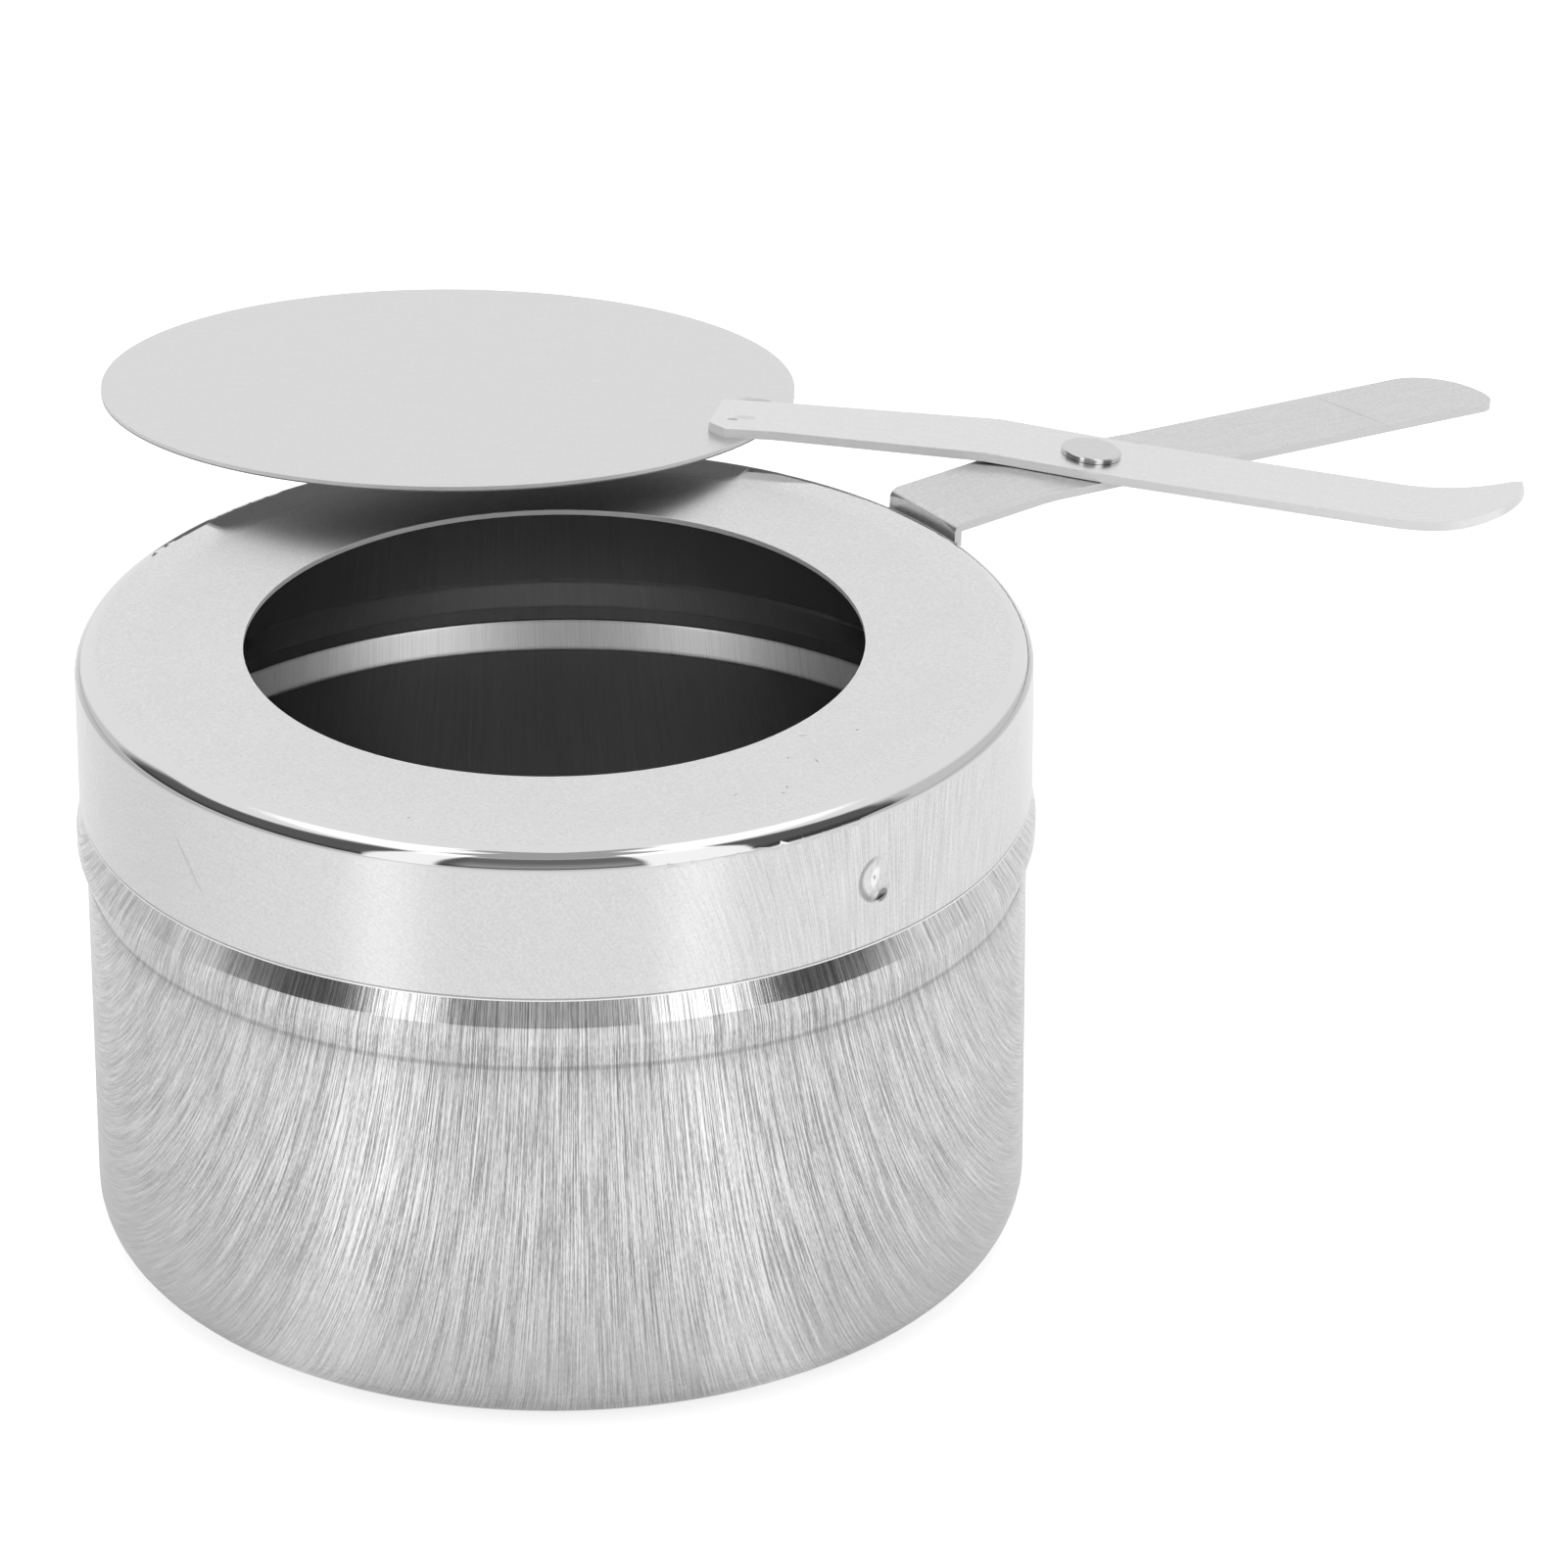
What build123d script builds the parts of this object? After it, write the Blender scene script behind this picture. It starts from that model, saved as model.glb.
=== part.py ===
from build123d import *
import os
from math import cos, radians, sin, sqrt, tan

# Burner pot in stainless sheet: a drawn pot for a can of heating fuel, a slip-on cap ring
# with a round flame hole, a handle strip welded to the cap's skirt, and a snuffer disc on a
# lever that swings about a rivet in the handle.
# Millimetres. Origin at the middle of the base, +Z up, +X along the handle.
# The snuffer stands open, as it is when the flame burns.

# Drawn pot: outer sizes of a cup with a rounded bead, below a plain neck. The wall flares
# out over the bead's rise, stands upright over its crown and slopes back in at the shoulder.
pot_radius = 44.5
pot_sheet = 0.5
base_corner_radius = 5.3
body_height = 38.0
bead_step = 0.87
bead_rise = 2.75
bead_crown_height = 1.65
bead_round = 1.2
shoulder_rise = 2.4
neck_step = 0.3
neck_round = 1.0

# Slip-on cap ring
cap_sheet = 0.5
cap_skirt_height = 14.8
cap_edge_radius = 2.1
flame_hole_radius = 29.2
neck_clearance = 0.3
seat_clearance = 0.3
rim_clearance = 2.3

# Two dimples pressed into the skirt, which grip the neck
dimple_depth_below_top = 8.2
dimple_radius = 2.4
dimple_recess = 0.45
dimple_lip = 0.1
dimple_clearance = 0.05
dimple_turn = 3.0

# Handle strip: a leg on the skirt, a fold, a level root, the hinge pad and the outer length.
# Lengths along X are from the skirt outwards. The far side is +Y and the near side is -Y.
handle_sheet = 0.85
handle_root_width = 9.9
handle_width = 9.1
handle_leg_margin = 2.7
handle_fold_radius = 0.95
handle_root_rise = 0.71
handle_root_length = 12.0
handle_pad_length = 18.0
handle_outer_length = 42.0
handle_root_lean = 0.45
hinge_lean = 7.46
hinge_roll = 2.35
handle_outer_lean = 6.39
handle_kink_round = 20.0
handle_tip_far_round = 6.4
handle_tip_near_round = 2.2

# Pivot rivet
pivot_offset = 21.0
rivet_shank_radius = 1.5
rivet_head_radius = 2.95
rivet_head_height = 0.55
rivet_head_round = 0.25
rivet_tail_radius = 2.4
rivet_tail_height = 0.8
rivet_running_clearance = 0.05
rivet_end_clearance = 0.03

# Snuffer disc, and where it lies when it covers the flame hole
disc_overlap = 5.4
disc_sheet = 0.5
disc_closed_gap = 0.93
open_angle = 55.0

# Lever: a flat end on the disc, a twisted length, a pad on the handle and a curled grip.
# Lengths are from the rivet, inwards to the disc and outwards to the grip.
lever_sheet = 0.9
lever_width = 9.92
lever_yaw = 6.28
lever_pad_gap = 0.07
lever_lap = 6.0
lever_flat_margin = 0.8
lever_pad_inner = 9.8
lever_pad_outer = 3.65
lever_grip_rise = 1.49
lever_grip_straight = 30.0
lever_curl_radius = 31.3
lever_curl_angle = 23.3
lever_tip_near_round = 7.6
lever_tip_far_round = 2.0
lever_end_corner = 1.9
lever_trim = 1.0

# Radii and heights that follow from the sizes above
bead_radius = pot_radius + bead_step
neck_radius = pot_radius - neck_step
cap_inner_radius = neck_radius + neck_clearance
cap_radius = cap_inner_radius + cap_sheet
bead_top_height = body_height + bead_rise + bead_crown_height
shoulder_height = bead_top_height + shoulder_rise
cap_rim_height = shoulder_height + seat_clearance
cap_top = cap_rim_height + cap_skirt_height
pot_rim_height = cap_top - cap_sheet - rim_clearance
disc_radius = flame_hole_radius + disc_overlap

# The shoulder climbs from the bead to meet the skirt's inner edge, and on to the neck
shoulder_run = (bead_radius - cap_inner_radius) / shoulder_rise
neck_start_height = shoulder_height + neck_clearance / shoulder_run

# Pot: one sheet drawn to a cup, revolved from its outer line
with BuildPart() as pot_body:
    with BuildSketch(Plane.XZ):
        with BuildLine():
            outer_base = Line((0, 0), (pot_radius - base_corner_radius, 0))
            outer_corner = TangentArc(
                outer_base @ 1,
                (pot_radius, base_corner_radius),
                tangent=(1, 0),
            )
            FilletPolyline(
                outer_corner @ 1,
                (pot_radius, body_height),
                (bead_radius, body_height + bead_rise),
                (bead_radius, bead_top_height),
                (neck_radius, neck_start_height),
                (neck_radius, pot_rim_height),
                radius=[bead_round, bead_round, bead_round, neck_round],
            )
            offset(amount=pot_sheet, side=Side.LEFT, kind=Kind.INTERSECTION)
        make_face()
    revolve(axis=Axis.Z)
pot_body.part.label = "pot_body"

# Cap ring: flat top with the flame hole, a rounded edge and a straight skirt
with BuildPart() as cap_ring:
    with BuildSketch(Plane.XZ):
        with BuildLine():
            cap_flat = Line(
                (flame_hole_radius, cap_top),
                (cap_radius - cap_edge_radius, cap_top),
            )
            cap_edge = TangentArc(
                cap_flat @ 1,
                (cap_radius, cap_top - cap_edge_radius),
                tangent=(1, 0),
            )
            cap_skirt = Line(cap_edge @ 1, (cap_radius, cap_rim_height))
            offset(amount=cap_sheet, side=Side.RIGHT)
        make_face()
    revolve(axis=Axis.Z)

    # The dimples stand nearly at right angles to the handle, hollow outside and proud inside
    dimple_height = cap_top - dimple_depth_below_top
    dimple_bump = cap_sheet + neck_clearance - dimple_clearance
    for side in (1, -1):
        dimple_out = Vector(0, side, 0).rotate(Axis.Z, dimple_turn)
        dimple_middle = dimple_out * cap_radius + Vector(0, 0, dimple_height)
        dimple_plane = Plane(
            origin=dimple_middle,
            x_dir=(0, 0, 1),
            z_dir=dimple_out.cross(Vector(0, 0, 1)),
        )
        dimple_axis = Axis(dimple_middle, dimple_out)
        with BuildSketch(dimple_plane):
            with BuildLine():
                bump_arc = TangentArc(
                    (0, dimple_bump),
                    (dimple_radius, cap_sheet / 2),
                    tangent=(1, 0),
                )
                Polyline(bump_arc @ 1, (0, cap_sheet / 2), bump_arc @ 0)
            make_face()
        revolve(axis=dimple_axis)
        with BuildSketch(dimple_plane):
            with BuildLine():
                recess_arc = TangentArc(
                    (0, dimple_recess),
                    (dimple_radius, -dimple_lip),
                    tangent=(1, 0),
                )
                Polyline(recess_arc @ 1, (0, -dimple_lip), recess_arc @ 0)
            make_face()
        revolve(axis=dimple_axis, mode=Mode.SUBTRACT)
cap_ring.part.label = "cap_ring"

# Handle strip. Its cross direction is rolled about +X, and its side line lies in a plane
# square to that. The first corner of the side line is the fold, the others are gentle kinks.
handle_cross = Vector(0, 1, tan(radians(hinge_roll))).normalized()
handle_side_plane = Plane(origin=(0, 0, cap_top), x_dir=(1, 0, 0), z_dir=-handle_cross)
handle_plan_plane = Plane(
    origin=(0, 0, cap_top),
    x_dir=(1, 0, 0),
    z_dir=Vector(1, 0, 0).cross(handle_cross),
)

# The leg's flat back is let into the round skirt until it meets it across its whole width
leg_back = sqrt(cap_radius**2 - (handle_root_width / 2) ** 2)
leg_end_rise = handle_leg_margin - cap_skirt_height
kink_radius = cap_radius + handle_root_length
pad_end_radius = kink_radius + handle_pad_length
handle_tip_radius = pad_end_radius + handle_outer_length
fold_rise = handle_root_rise + (kink_radius - leg_back) * tan(radians(handle_root_lean))
pad_end_rise = handle_root_rise - handle_pad_length * tan(radians(hinge_lean))
tip_rise = pad_end_rise - handle_outer_length * tan(radians(handle_outer_lean))

# Hinge frame: its origin is on the pad's top face and its Z is the rivet's axis
pivot_radius = cap_radius + pivot_offset
pivot_rise = handle_root_rise - (pivot_offset - handle_root_length) * tan(radians(hinge_lean))
pivot_point = Vector(pivot_radius, 0, cap_top + pivot_rise)
hinge_axis = Vector(tan(radians(hinge_lean)), -tan(radians(hinge_roll)), 1).normalized()
hinge_plane = Plane(
    origin=pivot_point, x_dir=(1, 0, -tan(radians(hinge_lean))), z_dir=hinge_axis
)

with BuildPart() as handle_strip:
    with BuildSketch(handle_side_plane):
        with BuildLine():
            FilletPolyline(
                (leg_back, leg_end_rise),
                (leg_back, fold_rise),
                (kink_radius, handle_root_rise),
                (pad_end_radius, pad_end_rise),
                (handle_tip_radius, tip_rise),
                radius=[handle_fold_radius, handle_kink_round, handle_kink_round],
            )
            offset(amount=handle_sheet, side=Side.RIGHT)
        make_face()
    extrude(amount=handle_root_width, both=True)

    # Blank outline: slightly wider at the root, with one large and one small tip corner
    with BuildSketch(handle_plan_plane) as handle_outline:
        with BuildLine():
            Polyline(
                (leg_back - handle_sheet, -handle_root_width / 2),
                (kink_radius, -handle_root_width / 2),
                (pivot_radius, -handle_width / 2),
                (handle_tip_radius, -handle_width / 2),
                (handle_tip_radius, handle_width / 2),
                (pivot_radius, handle_width / 2),
                (kink_radius, handle_root_width / 2),
                (leg_back - handle_sheet, handle_root_width / 2),
                close=True,
            )
        make_face()
        far_tip_corner = handle_outline.vertices().sort_by(Axis.X)[-2:].sort_by(Axis.Y)[-1]
        fillet(far_tip_corner, radius=handle_tip_far_round)
        near_tip_corner = handle_outline.vertices().sort_by(Axis.X)[-2:].sort_by(Axis.Y)[0]
        fillet(near_tip_corner, radius=handle_tip_near_round)
    extrude(amount=2 * cap_skirt_height, both=True, mode=Mode.INTERSECT)

    # Back of the leg fits the skirt, and the rivet's hole goes square through the pad
    with BuildSketch(Plane.XY.offset(cap_rim_height)):
        Circle(cap_radius)
    extrude(amount=2 * cap_skirt_height, mode=Mode.SUBTRACT)
    with BuildSketch(hinge_plane):
        Circle(rivet_shank_radius)
    extrude(amount=2 * handle_sheet, both=True, mode=Mode.SUBTRACT)
handle_strip.part.label = "handle_strip"

# Rivet: the shank is tight in the handle, the head keeps the lever down
head_underside = lever_pad_gap + lever_sheet + rivet_end_clearance
with BuildPart() as pivot_rivet:
    with BuildSketch(hinge_plane.offset(-handle_sheet - rivet_tail_height)):
        Circle(rivet_tail_radius)
    extrude(amount=rivet_tail_height)
    with BuildSketch(hinge_plane.offset(-handle_sheet)):
        Circle(rivet_shank_radius)
    extrude(amount=handle_sheet + head_underside)
    with BuildSketch(hinge_plane.offset(head_underside)):
        Circle(rivet_head_radius)
    extrude(amount=rivet_head_height)
    rivet_rims = pivot_rivet.edges().filter_by(GeomType.CIRCLE)
    rivet_rims = rivet_rims.sort_by(Axis(pivot_point, hinge_axis))
    fillet([rivet_rims[0], rivet_rims[-1]], radius=rivet_head_round)
pivot_rivet.part.label = "pivot_rivet"

# The snuffer's closed place is turned about the rivet's axis to its open place
swing_open = (
    hinge_plane.location
    * Location((0, 0, 0), (0, 0, -open_angle))
    * hinge_plane.location.inverse()
)


def opened(closed_plane):
    return Plane(swing_open * closed_plane.location)


# Closed, the disc lies level over the flame hole, centred on the pot
disc_closed_plane = Plane(origin=(0, 0, cap_top + disc_closed_gap))
with BuildPart() as snuffer_disc:
    with BuildSketch(opened(disc_closed_plane)):
        Circle(disc_radius)
    extrude(amount=disc_sheet)
snuffer_disc.part.label = "snuffer_disc"

# Lever. Closed, its flat end lies on the disc and its pad lies along the hinge plane, and it
# is turned a little from the line between the rivet and the disc's centre.
lever_level = Vector(cos(radians(lever_yaw)), sin(radians(lever_yaw)), 0)
lever_level_cross = Vector(-sin(radians(lever_yaw)), cos(radians(lever_yaw)), 0)
lever_along = (lever_level - hinge_axis * lever_level.dot(hinge_axis)).normalized()
lever_cross = hinge_axis.cross(lever_along)
lever_flat_reach = pivot_radius - disc_radius - lever_flat_margin
lever_end_reach = pivot_radius - disc_radius + lever_lap
flat_middle_height = cap_top + disc_closed_gap + disc_sheet + lever_sheet / 2
flat_start_point = Vector(pivot_radius, 0, flat_middle_height) - lever_level * lever_flat_reach
pad_start_point = (
    pivot_point
    - lever_along * lever_pad_inner
    + hinge_axis * (lever_pad_gap + lever_sheet / 2)
)
flat_start_plane = opened(
    Plane(origin=flat_start_point, x_dir=lever_level_cross, z_dir=lever_level)
)
pad_start_plane = opened(
    Plane(origin=pad_start_point, x_dir=lever_cross, z_dir=lever_along)
)
grip_side_plane = opened(
    Plane(origin=pivot_point, x_dir=lever_along, z_dir=-lever_cross)
)
lever_plan_plane = opened(
    Plane(origin=pivot_point, x_dir=lever_along, z_dir=hinge_axis)
)
grip_rise = (lever_grip_straight - lever_pad_outer) * tan(radians(lever_grip_rise))
grip_direction = (cos(radians(lever_grip_rise)), sin(radians(lever_grip_rise)))
lever_tip_reach = lever_grip_straight + lever_curl_radius * sin(radians(lever_curl_angle))
lever_rough_width = lever_width + 2 * lever_trim

with BuildPart() as lever_arm:
    # Twisted length between the flat end and the pad
    with BuildSketch(flat_start_plane):
        Rectangle(lever_rough_width, lever_sheet)
    with BuildSketch(pad_start_plane):
        Rectangle(lever_rough_width, lever_sheet)
    loft(ruled=True)

    # Flat end on the disc
    with BuildSketch(flat_start_plane):
        Rectangle(lever_rough_width, lever_sheet)
    extrude(amount=-(lever_end_reach - lever_flat_reach + lever_trim))

    # Pad, straight grip and curl, drawn from the side along the underside
    with BuildSketch(grip_side_plane):
        with BuildLine():
            grip_underside = Polyline(
                (-lever_pad_inner, lever_pad_gap),
                (lever_pad_outer, lever_pad_gap),
                (lever_grip_straight, lever_pad_gap + grip_rise),
            )
            JernArc(
                start=grip_underside @ 1,
                tangent=grip_direction,
                radius=lever_curl_radius,
                arc_size=lever_curl_angle,
            )
            offset(amount=lever_sheet, side=Side.LEFT, kind=Kind.INTERSECTION)
        make_face()
    extrude(amount=lever_rough_width / 2, both=True)

    # Blank outline: one corner cut at the disc's end, one large and one small tip corner
    with BuildSketch(lever_plan_plane) as lever_outline:
        with BuildLine():
            Polyline(
                (-lever_end_reach, -lever_width / 2),
                (lever_tip_reach, -lever_width / 2),
                (lever_tip_reach, lever_width / 2),
                (-lever_end_reach, lever_width / 2),
                close=True,
            )
        make_face()
        near_end_corner = lever_outline.vertices().sort_by(Axis.X)[:2].sort_by(Axis.Y)[0]
        chamfer(near_end_corner, length=lever_end_corner)
        far_tip_corner = lever_outline.vertices().sort_by(Axis.X)[-2:].sort_by(Axis.Y)[-1]
        fillet(far_tip_corner, radius=lever_tip_far_round)
        near_tip_corner = lever_outline.vertices().sort_by(Axis.X)[-2:].sort_by(Axis.Y)[0]
        fillet(near_tip_corner, radius=lever_tip_near_round)
    extrude(amount=lever_end_reach, both=True, mode=Mode.INTERSECT)

    # Running hole for the rivet
    with BuildSketch(hinge_plane.offset(-handle_sheet)):
        Circle(rivet_shank_radius + rivet_running_clearance)
    extrude(amount=handle_sheet + 2 * head_underside, mode=Mode.SUBTRACT)
lever_arm.part.label = "lever_arm"

os.makedirs("parts", exist_ok=True)
export_step(pot_body.part, "parts/pot_body.step")
export_step(cap_ring.part, "parts/cap_ring.step")
export_step(handle_strip.part, "parts/handle_strip.step")
export_step(pivot_rivet.part, "parts/pivot_rivet.step")
export_step(lever_arm.part, "parts/lever_arm.step")
export_step(snuffer_disc.part, "parts/snuffer_disc.step")
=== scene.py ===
import math
import bpy
from mathutils import Euler, Matrix, Vector


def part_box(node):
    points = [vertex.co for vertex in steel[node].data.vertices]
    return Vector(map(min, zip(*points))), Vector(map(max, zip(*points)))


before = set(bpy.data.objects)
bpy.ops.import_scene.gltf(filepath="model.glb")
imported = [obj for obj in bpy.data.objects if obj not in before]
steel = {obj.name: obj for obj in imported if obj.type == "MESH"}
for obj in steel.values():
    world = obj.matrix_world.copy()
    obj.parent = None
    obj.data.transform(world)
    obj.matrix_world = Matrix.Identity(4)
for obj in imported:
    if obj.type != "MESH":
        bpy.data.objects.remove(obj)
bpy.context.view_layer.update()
bpy.ops.object.select_all(action="DESELECT")


# The view: a long lens that looks down on the pot from its left front. The middle of the
# cap's top lies a little left of and above the middle of the picture.
picture_size = 1601
focal_length = 9000 / picture_size
sensor_width = 36
view_turn = -38.70
view_pitch = 26.283
view_roll = -0.057
cap_middle_distance = 0.826816
cap_middle_at = (566.13, 652.52)
cap_middle = Vector((0, 0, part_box("cap_ring")[1].z))

camera = bpy.data.cameras.new("camera")
camera.sensor_width = sensor_width
camera.lens = sensor_width * focal_length
camera_turn = Euler((math.radians(90 - view_pitch), 0, math.radians(view_turn))).to_matrix()
camera_turn = camera_turn @ Matrix.Rotation(math.radians(view_roll), 3, "Z")
across, down = ((at / picture_size - 0.5) / focal_length for at in cap_middle_at)
camera_place = cap_middle - camera_turn @ (Vector((across, -down, -1)) * cap_middle_distance)
view = bpy.data.objects.new("camera", camera)
view.matrix_world = Matrix.Translation(camera_place) @ camera_turn.to_4x4()
bpy.context.scene.collection.objects.link(view)
bpy.context.scene.camera = view
bpy.context.scene.view_settings.view_transform = "Standard"


# The table: a round white top that the pot stands on. The metal mirrors it with two pools of
# light in front, a darker part at the left, and a soft shade close to the pot.
def grow(tree, kind, inputs=None, **settings):
    """Adds a node, sets it up, and fills its sockets with values or links."""
    made = tree.nodes.new(kind)
    for name, value in settings.items():
        setattr(made, name, value)
    for name, value in (inputs or {}).items():
        if isinstance(value, bpy.types.NodeSocket):
            tree.links.new(value, made.inputs[name])
        else:
            made.inputs[name].default_value = value
    return made


def reckon(tree, operation, a, b=0.0, c=0.0, clamp=False):
    """One step of arithmetic on sockets or numbers."""
    return grow(tree, "ShaderNodeMath", {0: a, 1: b, 2: c}, operation=operation,
                use_clamp=clamp).outputs[0]


def times(tree, *factors):
    """The product of several sockets or numbers."""
    product = factors[0]
    for factor in factors[1:]:
        product = reckon(tree, "MULTIPLY", product, factor)
    return product


def ease(tree, value, start, end, low=0.0, high=1.0):
    """A smooth climb from low to high as the value goes from start to end."""
    made = grow(tree, "ShaderNodeMapRange", {"Value": value, "From Min": start, "From Max": end,
                                            "To Min": low, "To Max": high})
    made.interpolation_type = "SMOOTHSTEP"
    return made.outputs["Result"]


def off(tree, value, middle):
    """How far a value is from a middle."""
    return reckon(tree, "ABSOLUTE", reckon(tree, "SUBTRACT", value, middle))


def surface(tree, kind="Object"):
    """The place on a piece in metres, or another coordinate of it."""
    return grow(tree, "ShaderNodeTexCoord").outputs[kind]


def length_of(tree, vector):
    """The length of a vector."""
    return grow(tree, "ShaderNodeVectorMath", {0: vector}, operation="LENGTH").outputs["Value"]


def turned(tree, vector, degrees):
    """The x, y and z of a vector that is turned round the upright axis."""
    angle = math.radians(degrees)
    vector = grow(tree, "ShaderNodeVectorRotate", {"Vector": vector, "Angle": angle},
                  rotation_type="Z_AXIS").outputs[0]
    return grow(tree, "ShaderNodeSeparateXYZ", {"Vector": vector}).outputs


def round_view(tree, way):
    """The degrees from the camera's side, growing to the picture's right, and the height."""
    x, y, z = turned(tree, way, -view_turn)
    return reckon(tree, "DEGREES", reckon(tree, "ARCTAN2", x, times(tree, y, -1.0))), z


def mirrored(tree):
    """1 for the rays that metal or glass sends on."""
    rays = grow(tree, "ShaderNodeLightPath").outputs
    return reckon(tree, "ADD", rays["Is Glossy Ray"], rays["Is Transmission Ray"], clamp=True)


table_radius = 3.0
table_corners = 96
table_colour = (0.82, 0.82, 0.82, 1)
table_glow_seen = 0.78
table_glow_mirrored = 0.42
table_glow_lost = 0.78
second_mirroring = (1.4, 1.6)
table_shade = (0.05, 0.1, 0.85, 1.0)
pools = ((-34, 13, 0.5), (30, 13, 0.5), (-105, 65, -0.3))

bpy.ops.mesh.primitive_circle_add(vertices=table_corners, radius=table_radius, fill_type="NGON")
table = bpy.context.object
table.name = "table"
table.data.materials.append(bpy.data.materials.new("table"))
paint = table.data.materials[0]
paint.use_nodes = True
tree = paint.node_tree
tree.nodes.clear()
matt = grow(tree, "ShaderNodeBsdfDiffuse", {"Color": table_colour})
sideways = round_view(tree, surface(tree))[0]
pool = 1.0
for azimuth, width, gain in pools:
    pool = reckon(tree, "ADD", ease(tree, off(tree, sideways, azimuth), width, 0, 0.0, gain), pool)
pool = times(tree, pool, ease(tree, length_of(tree, surface(tree)), *table_shade))
rays = grow(tree, "ShaderNodeLightPath").outputs
strength = reckon(tree, "MULTIPLY_ADD", rays["Is Camera Ray"], table_glow_seen,
                  times(tree, mirrored(tree), pool, table_glow_mirrored))
glow = grow(tree, "ShaderNodeEmission", {"Strength": strength})
both = grow(tree, "ShaderNodeAddShader", {0: matt.outputs[0], 1: glow.outputs[0]})
# Between two sheets of metal, where it is mirrored twice, the table's light is mostly lost
lost = ease(tree, rays["Ray Depth"], *second_mirroring, 0.0, table_glow_lost)
shade = grow(tree, "ShaderNodeMixShader", {0: lost, 1: both.outputs[0]})
grow(tree, "ShaderNodeOutputMaterial", {"Surface": shade.outputs[0]})


# The room: bright behind the pot, with dark walls at the sides and in front, a grey strip in
# the middle of the front, a tall white panel on each side of the strip, soft boxes high up and
# a lamp overhead.
def between(tree, share, first, second):
    """The first value, and the second where the share is 1."""
    return grow(tree, "ShaderNodeMix", {"Factor": share, "A": first, "B": second}).outputs["Result"]


# Widths are in degrees from the camera's side, and heights are sines of the angle of rise
room_light = 0.98
wall_left, wall_right = (-122, -108), (92, 82)
wall_foot = (0.02, 0.09)
wall_top = (50, 105, 0.81, 0.58)
wall_top_edge = (-0.04, 0.06)
wall_light = (0.1, 0.28, 0.07, 0.17)
strip_width = (24, 18)
strip_foot = (0.09, 0.2)
strip_light = (0.15, 0.62, 0.55, 0.24)
box_foot, box_top = (0.79, 0.87), (0.975, 0.99)
box_width = (142, 124)
box_middle_light = 0.45
box_light = (48, 36, 1.5, box_middle_light)
panels = ((-34, 8), (34.5, 12.5))
panel_edge = 1
panel_top = (0.9, 0.86)
panel_light = 1.7
fill_light = 0.45

room = bpy.data.worlds.new("room")
bpy.context.scene.world = room
room.use_nodes = True
tree = room.node_tree
tree.nodes.clear()
sideways, height = round_view(tree, surface(tree, "Generated"))
off_front = reckon(tree, "ABSOLUTE", sideways)
below_top = reckon(tree, "SUBTRACT", ease(tree, off_front, *wall_top), height)
below_top = ease(tree, below_top, *wall_top_edge)
walls = times(tree, ease(tree, sideways, *wall_left), ease(tree, sideways, *wall_right),
              ease(tree, height, *wall_foot), below_top)
light = between(tree, walls, room_light, ease(tree, height, *wall_light))
strip = times(tree, ease(tree, off_front, *strip_width), ease(tree, height, *strip_foot), below_top)
light = between(tree, strip, light, ease(tree, height, *strip_light))
boxes = ease(tree, off_front, *box_light)
boxes = between(tree, ease(tree, height, *box_top), boxes, box_middle_light)
box_room = times(tree, ease(tree, height, *box_foot), ease(tree, off_front, *box_width))
light = between(tree, box_room, light, boxes)
for azimuth, half_width in panels:
    panel = ease(tree, off(tree, sideways, azimuth), half_width + panel_edge,
                 half_width - panel_edge)
    panel = times(tree, panel, ease(tree, height, *panel_top))
    light = between(tree, panel, light, panel_light)
rays = grow(tree, "ShaderNodeLightPath").outputs
light = times(tree, mirrored(tree), light)
light = reckon(tree, "MULTIPLY_ADD", rays["Is Diffuse Ray"], fill_light, light)
light = reckon(tree, "ADD", rays["Is Camera Ray"], light)
backdrop = grow(tree, "ShaderNodeBackground", {"Color": (1, 1, 1, 1), "Strength": light})
grow(tree, "ShaderNodeOutputWorld", {"Surface": backdrop.outputs[0]})

lamp_place = (0.1, 0.15, 0.9)
lamp_size = 0.9
lamp_power = 2.5
lamp = bpy.data.lights.new("overhead", "AREA")
lamp.shape = "DISK"
lamp.size = lamp_size
lamp.energy = lamp_power
overhead = bpy.data.objects.new("overhead", lamp)
overhead.location = lamp_place
overhead.visible_glossy = False
bpy.context.scene.collection.objects.link(overhead)


# The pot: a cup drawn from thin stainless sheet. The sheet was brushed straight before it was
# drawn, so its lines run down the wall at the front and turn level towards the sides. The
# inside is smoother, and the corner at the base is burnished round.
def metal(name):
    """A new node material and its empty tree."""
    made = bpy.data.materials.new(name)
    made.use_nodes = True
    made.node_tree.nodes.clear()
    return made, made.node_tree


def bare_steel(tree, shade, rough, relief, depth):
    """Bare metal of a grey shade, with a relief of lines or grains."""
    bump = grow(tree, "ShaderNodeBump", {"Strength": 1.0, "Distance": depth, "Height": relief})
    tone = grow(tree, "ShaderNodeCombineColor", {0: shade, 1: shade, 2: shade})
    skin = grow(tree, "ShaderNodeBsdfPrincipled", {"Base Color": tone.outputs[0], "Metallic": 1.0,
                                                  "Roughness": rough, "Normal": bump.outputs[0]})
    grow(tree, "ShaderNodeOutputMaterial", {"Surface": skin.outputs[0]})


def along(tree, vector, way):
    """How far a vector reaches in a direction."""
    return grow(tree, "ShaderNodeVectorMath", {0: vector, 1: way},
                operation="DOT_PRODUCT").outputs["Value"]


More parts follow.
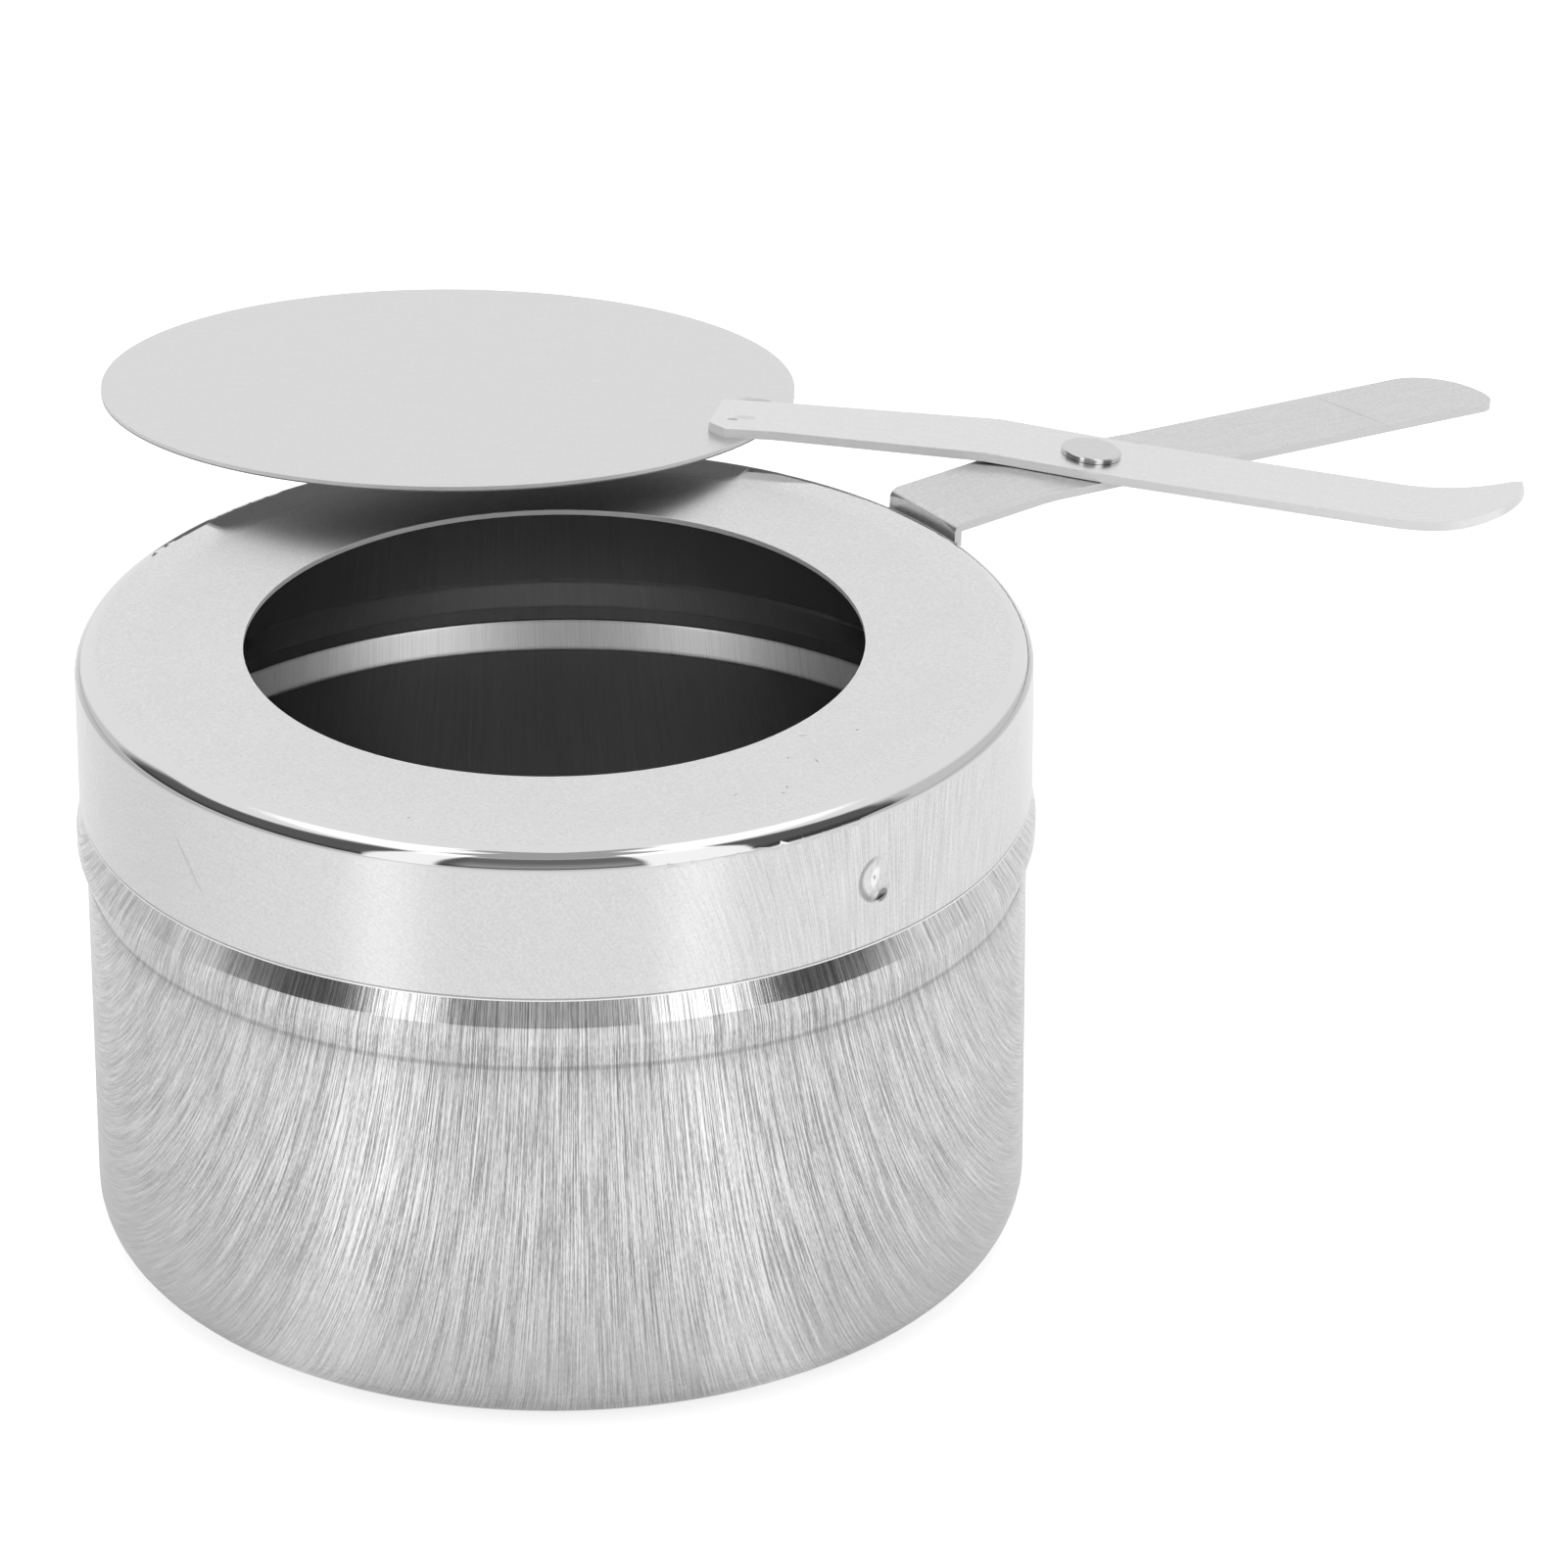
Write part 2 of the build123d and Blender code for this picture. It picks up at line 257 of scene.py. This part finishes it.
def drawn_sheet(tree, grain_azimuth, radius, flat_height):
    """Where a point of a drawn cup was on its flat sheet, across the grain and along it, then
    its x, y and z with y along the grain, and its distance from the axis."""
    x, y, z = turned(tree, surface(tree), -90 - grain_azimuth)
    square = reckon(tree, "MULTIPLY_ADD", x, x, reckon(tree, "MULTIPLY", y, y))
    wall = times(tree, off(tree, z, flat_height), 2 * radius)
    grown = reckon(tree, "SQRT", reckon(tree, "DIVIDE", reckon(tree, "ADD", square, wall), square))
    return (times(tree, x, grown), times(tree, y, grown)), (x, y, z), reckon(tree, "SQRT", square)


def lines(tree, sheet, size, detail=2.0, coarse=0.5, seed=0.0):
    """Brushed lines: noise about zero, fine across the grain and long along it."""
    place = [reckon(tree, "MULTIPLY", at, 1 / span) for at, span in zip(sheet, size)]
    place = grow(tree, "ShaderNodeCombineXYZ", {0: place[0], 1: place[1], 2: seed}).outputs[0]
    noise = grow(tree, "ShaderNodeTexNoise", {"Vector": place, "Scale": 1.0, "Detail": detail,
                                             "Roughness": coarse}).outputs["Fac"]
    return reckon(tree, "SUBTRACT", noise, 0.5)


pot_radius = 0.0445
pot_grain_azimuth = -124.0
floor_height = (0.05, 0.03)
level_face = (0.9, 0.95)
inward_face = (0.0, -0.002)
corner_height = (0.0055, 0.0035)
groove_height = 0.038
groove_line = (0.0006, 0.0001)
below_groove = 0.0024
bead_inside_foot = (groove_height - 0.0003, groove_height + 0.0002)
bead_inside_top = (groove_height + 0.003, groove_height + 0.0024)
bead_slope_height = 0.00275
bead_hollow = 0.16

line_depth = 0.000007
streak_size = (0.00013, 0.007)
bundle_size, bundle_share = (0.0005, 0.012), 0.06
scuff_size, scuff_share = (0.00012, 0.0005), 0.3
burnish_size, burnish_share = (0.00012, 0.004), 0.2
grain_at_sides = (pot_radius * 0.3, pot_radius, 1.0, 0.4)
grain_at_base = (0.002, 0.024, 0.35, 1.0)
grain_inside = 0.12

wall_shade = (-0.2, 0.2, 0.27, 0.95)
groove_painted_shade = 0.66
below_groove_painted_shade = 0.84
inside_painted_shade = 0.72
bead_inside_painted_light, bead_inside_streaks = 0.93, 0.5
wall_rough = 0.14
inside_rough = 0.2
bead_inside_rough = 0.42
floor_rough = 0.5

paint, tree = metal("pot_steel")
sheet, (x, y, z), radius = drawn_sheet(tree, pot_grain_azimuth, pot_radius, 0.0)
streaks = lines(tree, sheet, streak_size, coarse=0.65, seed=1.7)
bundles = lines(tree, sheet, bundle_size, detail=1.0, seed=5.1)
scuffs = lines(tree, sheet, scuff_size, detail=1.0, seed=8.6)
around = times(tree, reckon(tree, "ARCTAN2", x, y), pot_radius)
burnish = lines(tree, (z, around), burnish_size, seed=3.3)
burnish = times(tree, burnish, ease(tree, z, *corner_height))

facing = surface(tree, "Normal")
level_part = grow(tree, "ShaderNodeVectorMath", {0: facing, 1: (1, 1, 0)}, operation="MULTIPLY")
outwards = along(tree, surface(tree), level_part.outputs[0])
floor_up = times(tree, ease(tree, along(tree, facing, (0, 0, 1)), *level_face),
                 ease(tree, z, *floor_height))
inside = reckon(tree, "MAXIMUM", ease(tree, outwards, *inward_face), floor_up)

grain = times(tree, ease(tree, reckon(tree, "ABSOLUTE", x), *grain_at_sides),
              ease(tree, z, *grain_at_base), ease(tree, inside, 0, 1, 1.0, grain_inside))
brushed = reckon(tree, "MULTIPLY_ADD", bundles, bundle_share, streaks)
brushed = times(tree, reckon(tree, "MULTIPLY_ADD", scuffs, scuff_share, brushed), grain)
# Painted shade: the wall is darker in the groove under the bead and for a little way below it
near_groove = ease(tree, z, groove_height - below_groove, groove_height, 1.0, below_groove_painted_shade)
in_groove = ease(tree, off(tree, z, groove_height), *groove_line, 1.0, groove_painted_shade)
on_bead = ease(tree, z, groove_height, groove_height + groove_line[0])
outside_painted_shade = between(tree, on_bead, reckon(tree, "MINIMUM", near_groove, in_groove), 1.0)
# Painted shade: the inside is painted darker than the outside
shade = times(tree, ease(tree, brushed, *wall_shade), between(tree, inside, outside_painted_shade, inside_painted_shade))
# Painted highlight: the inner face of the bead's lower slope is painted bright, with faint streaks
bead_inside = times(tree, inside, ease(tree, z, *bead_inside_foot), ease(tree, z, *bead_inside_top))
bead_painted_light = reckon(tree, "MULTIPLY_ADD", streaks, bead_inside_streaks, bead_inside_painted_light)
shade = between(tree, bead_inside, shade, bead_painted_light)
shade = reckon(tree, "MULTIPLY_ADD", burnish, burnish_share, shade)
rough = between(tree, floor_up, ease(tree, inside, 0, 1, wall_rough, inside_rough), floor_rough)
rough = between(tree, bead_inside, rough, bead_inside_rough)

# The bead's inside is rounder than its outside, so its lower slope faces more upwards
hollow = reckon(tree, "MINIMUM", reckon(tree, "SUBTRACT", groove_height, z), 0.0)
hollow = times(tree, inside, reckon(tree, "MAXIMUM", hollow, -bead_slope_height))
relief = reckon(tree, "MULTIPLY_ADD", hollow, bead_hollow / line_depth, brushed)
bare_steel(tree, shade, rough, relief, line_depth)
steel["pot_body"].material_slots[0].material = paint


# The cap ring: drawn sheet with a bright top, a polished rounded edge and a satin skirt, and
# two dimples pressed into the skirt that grip the pot's neck. It has a few nicks and one long
# scratch. Its cut edges and the skirt's lower edge are painted bright as a painted highlight,
# and a band of the polished edge is painted darker as a painted reflection.
def speckle(tree, size, seed=0.0):
    """Fine even grain about zero."""
    noise = grow(tree, "ShaderNodeTexNoise", {"Vector": surface(tree), "W": seed, "Scale": 1 / size,
                                             "Detail": 2.0}, noise_dimensions="4D").outputs["Fac"]
    return reckon(tree, "SUBTRACT", noise, 0.5)


mark_edge = (1.0, 0.55)


def mark(tree, place, turn, size):
    """1 inside a small oval mark on a surface, 0 round it."""
    local = grow(tree, "ShaderNodeMapping", {"Vector": surface(tree), "Location": place,
                                            "Rotation": turn, "Scale": size},
                 vector_type="TEXTURE").outputs[0]
    return ease(tree, length_of(tree, local), *mark_edge)


def darken(tree, shade, share, left):
    """A shade, of which only a part is left where the share is 1."""
    return times(tree, shade, ease(tree, share, 0, 1, 1.0, left))


cap_radius = 0.045
cap_grain_azimuth = -84.0
cap_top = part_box("cap_ring")[1].z
cap_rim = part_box("cap_ring")[0].z
flame_hole_radius = 0.0292
cut_edge = (flame_hole_radius + 0.00006, flame_hole_radius + 0.00003)
lip_edge = (cap_rim + 0.00016, cap_rim + 0.0001)
lip_painted_dark_line_edge = (cap_rim + 0.00034, cap_rim + 0.00028)

# Where the finishes meet on the rounded edge, in parts of its radius from the side or the top
cap_edge_radius = 0.0021
top_starts = (0.82, 1.0)
skirt_starts = (0.85, 1.05)
polish_starts, polish_ends = (0.26, 0.42), (0.86, 0.72)

cap_line_depth = 0.000006
cap_line_size, cap_line_share = (0.00011, 0.005), 0.5
cap_line_front = (0.028, 0.010, 0.15, 1.0)
cloud_size, cloud_share = (0.012, 0.012), 0.03
cap_grain_size, cap_grain_share = 0.00026, 0.26
cap_shade = 0.73
top_darker = -0.02
polished_painted_reflection_left = 0.72
lip_painted_dark_line_left = 0.55
worn_left = 0.45
cut_and_lip_painted_highlight = 0.92
edge_rough = 0.06
skirt_rougher = 0.115
near_hole_rougher = (0.042, 0.0385, 0.0, 0.25)
cut_rough = 0.7
scratch_strength = 0.3
scratch = ((-0.0448, -0.0036, 0.0519), (math.radians(-38), 0, 0), (0.001, 0.00028, 0.0046))
nick_depth = 0.0005
nicks = (((0.0098, -0.0329), 20, 0.00022, 0.00012), ((0.0029, -0.0356), 75, 0.00045, 0.00009),
         ((-0.0026, -0.0381), 60, 0.00035, 0.00008), ((-0.0036, -0.0388), 110, 0.0004, 0.00007),
         ((0.0052, -0.0307), -30, 0.0005, 0.00008), ((0.0012, -0.0335), 40, 0.00025, 0.00009),
         ((-0.0072, -0.0364), 15, 0.0005, 0.00006), ((-0.0330, -0.0216), -50, 0.00022, 0.00009))

paint, tree = metal("cap_steel")
sheet, (x, y, z), radius = drawn_sheet(tree, cap_grain_azimuth, cap_radius, cap_top)
from_side = reckon(tree, "DIVIDE", reckon(tree, "SUBTRACT", cap_radius, radius), cap_edge_radius)
below_top = reckon(tree, "DIVIDE", reckon(tree, "SUBTRACT", cap_top, z), cap_edge_radius)
on_top = ease(tree, from_side, *top_starts)
on_skirt = ease(tree, below_top, *skirt_starts)
satin = reckon(tree, "ADD", on_top, on_skirt, clamp=True)
brushed = lines(tree, sheet, cap_line_size, detail=1.0, coarse=0.6, seed=2.3)
brushed = times(tree, brushed, ease(tree, reckon(tree, "ABSOLUTE", x), *cap_line_front), on_skirt)
shade = reckon(tree, "MULTIPLY_ADD", brushed, cap_line_share, cap_shade)
grains = times(tree, speckle(tree, cap_grain_size), satin)
shade = reckon(tree, "MULTIPLY_ADD", grains, cap_grain_share, shade)
shade = reckon(tree, "MULTIPLY_ADD", lines(tree, (x, y), cloud_size, seed=4.2), cloud_share, shade)
shade = reckon(tree, "MULTIPLY_ADD", on_top, top_darker, shade)
# Painted reflection: a band of the polished rounded edge is painted darker, which deepens the dark
# line mirrored in it
polished_painted_reflection = times(tree, ease(tree, below_top, *polish_starts), ease(tree, below_top, *polish_ends))
shade = darken(tree, shade, polished_painted_reflection, polished_painted_reflection_left)
worn = times(tree, mark(tree, *scratch), scratch_strength)
for (east, north), angle, length, width in nicks:
    turn, size = (0, 0, math.radians(angle)), (length, width, nick_depth)
    nick = mark(tree, (east, north, cap_top), turn, size)
    worn = reckon(tree, "MAXIMUM", worn, nick)
shade = darken(tree, shade, worn, worn_left)
# Painted highlight on the flame hole's cut edge and along the skirt's lower edge, and a painted
# reflection as a dark line just above the latter
cut = ease(tree, radius, *cut_edge)
lip = ease(tree, z, *lip_edge)
lip_painted_dark_line = times(tree, ease(tree, z, *lip_painted_dark_line_edge), ease(tree, lip, 1, 0))
shade = darken(tree, shade, lip_painted_dark_line, lip_painted_dark_line_left)
shade = between(tree, reckon(tree, "MAXIMUM", cut, lip), shade, cut_and_lip_painted_highlight)
rough = reckon(tree, "MULTIPLY_ADD", on_skirt, skirt_rougher, edge_rough)
rough = reckon(tree, "ADD", rough, ease(tree, radius, *near_hole_rougher))
rough = between(tree, cut, rough, cut_rough)

# A dimple is smooth, with a painted highlight in its middle, and painted shade as a dark crease on
# its west side and a dark spot below
dimples = ((0.0026, -0.0449), (-0.0026, 0.0449))
dimple_height = cap_top - 0.0082
dimple_edge = (0.0026, 0.0022)
dimple_rough = (0.001, 0.0002, 0.05, 0.35)
dimple_painted_highlight = ((-0.0001, 0, 0), (0, 0.3, 0), (0.0006, 0.002, 0.0013))
dimple_painted_highlight_shade = 0.97
crease_ring, crease_side = (0.0014, 0.0021), (0.0006, -0.0014)
painted_crease_left = 0.55
painted_dark_spot = ((0.0005, 0, -0.0019), (0, -0.7, 0), (0.0009, 0.002, 0.0006))
painted_dark_spot_left = 0.4
for east, north in dimples:
    dimple = Vector((east, north, dimple_height))
    off_dimple = grow(tree, "ShaderNodeVectorMath", {0: surface(tree), 1: dimple},
                      operation="DISTANCE").outputs["Value"]
    pressed = ease(tree, off_dimple, *dimple_edge)
    rough = between(tree, pressed, rough, ease(tree, off_dimple, *dimple_rough))
    place, turn, size = dimple_painted_highlight
    middle = mark(tree, dimple + Vector(place), turn, size)
    shade = between(tree, middle, shade, dimple_painted_highlight_shade)
    start, end = (east + reach for reach in crease_side)
    westwards = ease(tree, along(tree, surface(tree), (1, 0, 0)), start, end)
    crease = times(tree, pressed, ease(tree, off_dimple, *crease_ring), westwards)
    shade = darken(tree, shade, crease, painted_crease_left)
    place, turn, size = painted_dark_spot
    spot = mark(tree, dimple + Vector(place), turn, size)
    shade = darken(tree, shade, spot, painted_dark_spot_left)
bare_steel(tree, shade, rough, brushed, cap_line_depth)
steel["cap_ring"].material_slots[0].material = paint


# The handle strip: flat stainless sheet with a rounded tip, folded down at its inner end and
# spot welded to the cap's skirt. It has a fine even grain, a faint dark line across it painted
# as the shade of a crease, and two small dark marks at its edges. Its sheared edges are painted
# lighter as a painted highlight.
sheet_line_size, sheet_line_share = (0.0002, 0.006), 0.6
sheet_grain_size = 0.00024
sheet_relief = 0.000002
sheared_rough = 0.75
arris_edge = (0.00016, 0.00008)
arris_painted_shade = 0.3


def flat_sheet(name, turn, shade, rough, wear, side=(0, 0, 0), sheared=(0.55, 0.7),
               painted_edge_light=0.95, marks=(), under=None):
    """Flat sheet with faint lines in the direction of the turn. Its sheared edges, which face
    the side direction, are rough and painted lighter as a painted highlight, and may have a
    thin line of painted shade along the arris below. Marks are darker ovals."""
    paint, tree = metal(name)
    x, y, z = turned(tree, surface(tree), -turn)
    grain = lines(tree, (y, x), sheet_line_size, coarse=0.6)
    grains = speckle(tree, sheet_grain_size, 1.0)
    shade = reckon(tree, "MULTIPLY_ADD", grain, wear * sheet_line_share, shade)
    shade = reckon(tree, "MULTIPLY_ADD", grains, wear, shade)
    facing = reckon(tree, "ABSOLUTE", along(tree, surface(tree, "Normal"), side))
    # Painted highlight: the sheared edges are painted lighter
    edge = ease(tree, facing, *sheared)
    shade = between(tree, edge, shade, painted_edge_light)
    rough = between(tree, edge, rough, sheared_rough)
    # Painted shade: a thin dark line along the arris below the sheared edge
    if under is not None:
        start, end = (under + width for width in arris_edge)
        arris = times(tree, edge, ease(tree, along(tree, surface(tree), side), start, end))
        shade = between(tree, arris, shade, arris_painted_shade)
    for place, angle, size, left in marks:
        shade = darken(tree, shade, mark(tree, place, (0, 0, math.radians(angle)), size), left)
    bare_steel(tree, shade, rough, reckon(tree, "ADD", grain, grains), sheet_relief)
    return paint


# The first mark is a faint line across the strip, painted dark as the shade of a crease; the other
# two are small dark marks at its edges
handle_marks = (((0.1006, 0.0, 0.0554), 12, (0.00025, 0.0052, 0.002), 0.86),
                ((0.0705, 0.0046, 0.0588), 0, (0.0009, 0.0004, 0.001), 0.6),
                ((0.0790, -0.0046, 0.0578), 0, (0.0007, 0.0003, 0.001), 0.7))
steel["handle_strip"].material_slots[0].material = flat_sheet(
    "handle_steel", turn=0, shade=0.64, rough=0.3, wear=0.26, side=(0, 1, 0), painted_edge_light=0.8,
    marks=handle_marks)


# The lever: a flat strip of stainless sheet with its outer end curled up as a grip. Its sheared
# edges are painted bright as a painted highlight, and its weld to the disc shows as two small
# marks.
lever_turn = -48.7
lever_side = (-math.sin(math.radians(lever_turn)), math.cos(math.radians(lever_turn)), 0)
weld_marks = (((0.04146, 0.02536, 0.06215), lever_turn, (0.0007, 0.0004, 0.0006), 0.5),
              ((0.0428, 0.0251, 0.0622), lever_turn, (0.0014, 0.0009, 0.0008), 0.86))
steel["lever_arm"].material_slots[0].material = flat_sheet(
    "lever_steel", turn=lever_turn, shade=0.735, rough=0.26, wear=0.12, side=lever_side,
    marks=weld_marks)


# The snuffer disc: a round blank punched from thin stainless sheet and spot welded under the
# lever's end. Its punched edge is painted lighter as a painted highlight, with a thin line of
# painted shade along its lower arris, and heat marks lie beside the weld.
disc_turn = -38.7
disc_mesh = steel["snuffer_disc"].data
disc_up = max(disc_mesh.polygons, key=lambda face: face.area * face.normal.z).normal.copy()
disc_under = min(corner.co.dot(disc_up) for corner in disc_mesh.vertices)
heat_marks = (((0.0492, 0.0310, 0.0599), lever_turn, (0.0016, 0.0008, 0.0008), 0.72),
              ((0.0478, 0.0322, 0.0599), 10, (0.0022, 0.0005, 0.0008), 0.86))
steel["snuffer_disc"].material_slots[0].material = flat_sheet(
    "disc_steel", turn=disc_turn, shade=0.68, rough=0.3, wear=0.12, side=disc_up,
    sheared=(0.7, 0.5), painted_edge_light=0.85, marks=heat_marks, under=disc_under)


# The rivet: one steel rivet with a low round satin head, set through lever and handle strip. It
# is tight in the strip, and the lever turns on it.
steel["pivot_rivet"].material_slots[0].material = flat_sheet(
    "rivet_steel", turn=20, shade=0.62, rough=0.16, wear=0.12)
